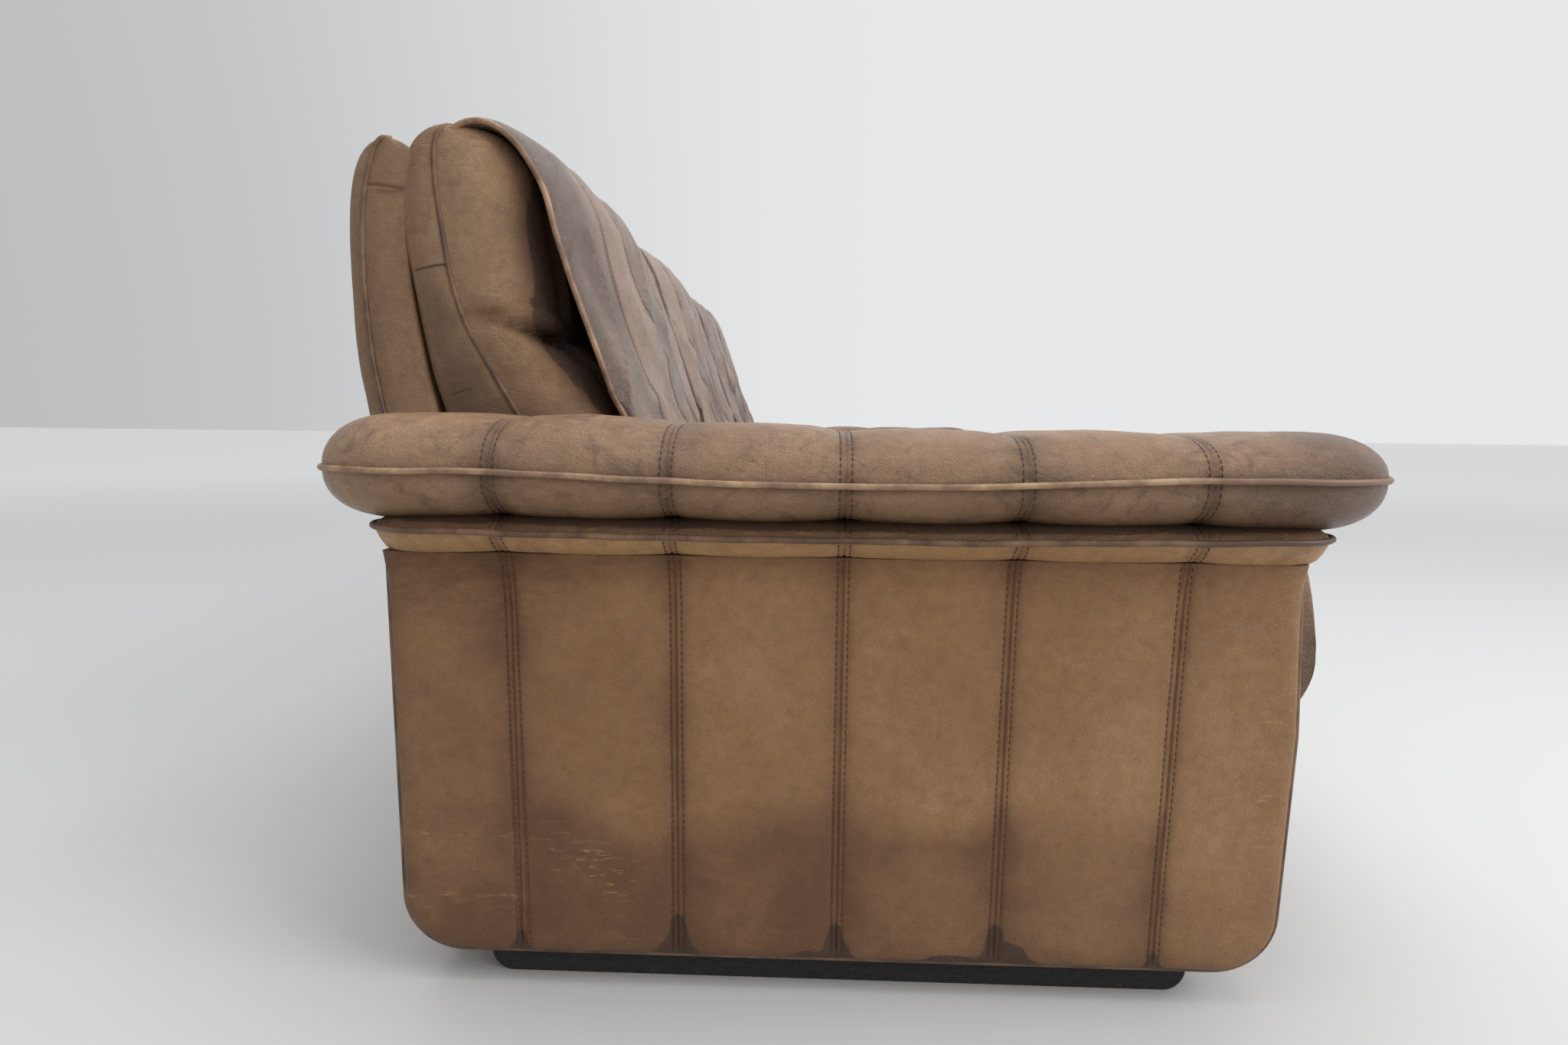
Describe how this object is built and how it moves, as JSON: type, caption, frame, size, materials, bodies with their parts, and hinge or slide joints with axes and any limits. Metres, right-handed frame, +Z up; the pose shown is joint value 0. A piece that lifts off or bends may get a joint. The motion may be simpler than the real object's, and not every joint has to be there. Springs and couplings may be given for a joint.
{
  "type": "worn leather three-seat sofa",
  "caption": "Low box-arm sofa in thick worn brown leather with loose seat and back cushions, draped back mats, bolster arm pads and black runners.",
  "frame": {"origin": "on the floor under the middle of the sofa, centred left to right and front to back", "axes": "+X along the length of the sofa, towards the arm on the right of someone who looks at its front; +Y towards the back, so the front faces -Y; +Z up"},
  "size_m": [2.226, 0.988, 0.8055],
  "materials": {
    "leather": "worn, semi-matt, grained",
    "mat_leather": "worn, soft sheen",
    "piping": "worn, semi-matt",
    "thread": "waxed twist",
    "runner_black": "black stain, dusty",
    "beech": "raw sawn",
    "webbing": "matt",
    "black_cloth": "matt non-woven"
  },
  "bodies": {
    "root": {"left_arm_outer_panel": "leather", "left_arm_inner_panel": "leather", "left_arm_front_band": "leather", "left_arm_rear_band": "leather", "left_arm_lower_pad": "leather", "left_arm_pad": "leather", "left_arm_bottom_board": "beech", "left_arm_top_board": "beech", "left_arm_front_board": "beech", "left_arm_rear_board": "beech", "left_runner": "runner_black", "right_arm_outer_panel": "leather", "right_arm_inner_panel": "leather", "right_arm_front_band": "leather", "right_arm_rear_band": "leather", "right_arm_lower_pad": "leather", "right_arm_pad": "leather", "right_arm_bottom_board": "beech", "right_arm_top_board": "beech", "right_arm_front_board": "beech", "right_arm_rear_board": "beech", "right_runner": "runner_black", "front_rail": "beech", "rear_rail": "beech", "cross_rail_1": "beech", "cross_rail_2": "beech", "cross_rail_3": "beech", "cross_rail_4": "beech", "webbing_1": "webbing", "webbing_2": "webbing", "webbing_3": "webbing", "webbing_4": "webbing", "webbing_5": "webbing", "webbing_6": "webbing", "webbing_7": "webbing", "webbing_8": "webbing", "webbing_9": "webbing", "deck_cloth": "black_cloth", "dust_cover": "black_cloth", "front_apron": "leather", "back_rear_panel": "leather", "back_front_panel": "leather", "back_top_roll": "leather", "back_post_1": "beech", "back_post_2": "beech", "back_post_3": "beech", "back_post_4": "beech", "back_top_rail": "beech", "seat_cushion_1": "leather", "back_cushion_1": "leather", "back_mat_1": "mat_leather", "seat_cushion_2": "leather", "back_cushion_2": "leather", "back_mat_2": "mat_leather", "seat_cushion_3": "leather", "back_cushion_3": "leather", "back_mat_3": "mat_leather"}
  },
  "joints": []
}
